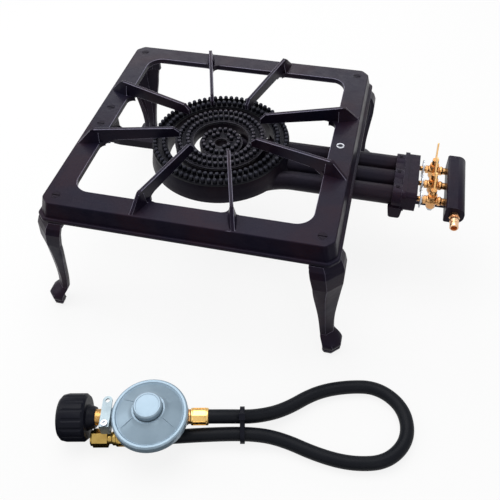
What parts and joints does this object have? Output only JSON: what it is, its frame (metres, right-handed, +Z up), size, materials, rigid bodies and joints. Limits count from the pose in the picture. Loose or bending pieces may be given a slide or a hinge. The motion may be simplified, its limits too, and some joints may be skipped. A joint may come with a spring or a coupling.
{
  "type": "propane burner stand",
  "caption": "Square cast-iron gas burner stand with concentric ring burners, pot ribs, brass lever taps, cabriole legs, and a disc regulator with a looped hose.",
  "frame": {"origin": "on the floor, under the centre of the box round the stand with its burner tubes, taps and manifold; the loose regulator and hose in front are left out of that box", "axes": "+Z up from the floor, +X from the burner rings towards the gas manifold, +Y from the regulator's side towards the back of the stand"},
  "size_m": [0.5922, 0.6689, 0.2218],
  "materials": {
    "black_enamel": "satin black paint on cast iron",
    "burner_iron": "matt black cast iron",
    "dark_screws": "painted over with the stand",
    "zinc_steel": "zinc plated",
    "brass": "machined brass",
    "regulator_paint": "satin blue-grey",
    "wheel_plastic": "moulded, satin",
    "hose_rubber": "matt rubber"
  },
  "bodies": {
    "stand": {"top_frame": "black_enamel", "leg_back_right": "black_enamel", "leg_back_left": "black_enamel", "leg_front_left": "black_enamel", "leg_front_right": "black_enamel", "collar_block": "black_enamel", "manifold_bar": "black_enamel", "bracket_arm": "black_enamel", "hanger_strap": "black_enamel", "outer_ring_casting": "burner_iron", "middle_ring_casting": "burner_iron", "centre_ring_casting": "burner_iron", "outer_ring_head": "burner_iron", "middle_ring_head": "burner_iron", "centre_ring_head": "burner_iron", "leg_screws": "dark_screws", "arm_screws": "dark_screws", "collar_set_screws": "dark_screws", "leg_nuts": "zinc_steel", "arm_nuts": "zinc_steel", "hanger_screw": "zinc_steel", "bracket_bolts": "zinc_steel", "tag_screw": "zinc_steel", "bracket_tag": "zinc_steel", "adjusting_spring": "zinc_steel", "inlet_fitting": "brass", "manifold_plug": "brass", "inlet_stem": "brass", "outlet_barb": "brass", "ferrule": "brass", "end_ferrule": "brass", "end_fitting": "brass", "tap_body_back": "brass", "tap_jet_back": "brass", "tap_body_middle": "brass", "tap_jet_middle": "brass", "tap_body_front": "brass", "tap_jet_front": "brass", "regulator_body": "regulator_paint", "regulator_cover": "regulator_paint", "cable_tie": "wheel_plastic", "hose": "hose_rubber", "inlet_seal": "hose_rubber", "regulator_diaphragm": "hose_rubber"},
    "tap_back": {"tap_plug_back": "brass", "tap_lever_back": "brass", "tap_nut_back": "zinc_steel"},
    "shutter_back": {"air_shutter_back": "zinc_steel"},
    "tap_middle": {"tap_plug_middle": "brass", "tap_lever_middle": "brass", "tap_nut_middle": "zinc_steel"},
    "shutter_middle": {"air_shutter_middle": "zinc_steel"},
    "tap_front": {"tap_plug_front": "brass", "tap_lever_front": "brass", "tap_nut_front": "zinc_steel"},
    "shutter_front": {"air_shutter_front": "zinc_steel"},
    "wheel": {"hand_wheel": "wheel_plastic"},
    "cap": {"adjusting_cap": "regulator_paint"}
  },
  "joints": [
    {"name": "tap_turn_back", "type": "hinge", "parent": "stand", "child": "tap_back", "pos_m": [0.25006, 0.0335, 0.15], "axis": [0, 0, 1], "range_deg": [-90, 0]},
    {"name": "tap_turn_middle", "type": "hinge", "parent": "stand", "child": "tap_middle", "pos_m": [0.25006, 0, 0.15], "axis": [0, 0, 1], "range_deg": [-90, 0]},
    {"name": "tap_turn_front", "type": "hinge", "parent": "stand", "child": "tap_front", "pos_m": [0.25006, -0.0335, 0.15], "axis": [0, 0, 1], "range_deg": [-90, 0]},
    {"name": "shutter_slide_back", "type": "slide", "parent": "stand", "child": "shutter_back", "axis": [1, 0, 0], "range_m": [-0.005, 0.001]},
    {"name": "shutter_slide_middle", "type": "slide", "parent": "stand", "child": "shutter_middle", "axis": [1, 0, 0], "range_m": [-0.005, 0.001]},
    {"name": "shutter_slide_front", "type": "slide", "parent": "stand", "child": "shutter_front", "axis": [1, 0, 0], "range_m": [-0.005, 0.001]},
    {"name": "wheel_turn", "type": "hinge", "parent": "stand", "child": "wheel", "pos_m": [-0.16465, -0.41101, 0.03125], "axis": [0.9744, 0.225, 0], "continuous": true},
    {"name": "cap_turn", "type": "hinge", "parent": "stand", "child": "cap", "pos_m": [-0.06594, -0.394, 0.075], "axis": [0, 0, 1], "range_deg": [0, 360]}
  ]
}
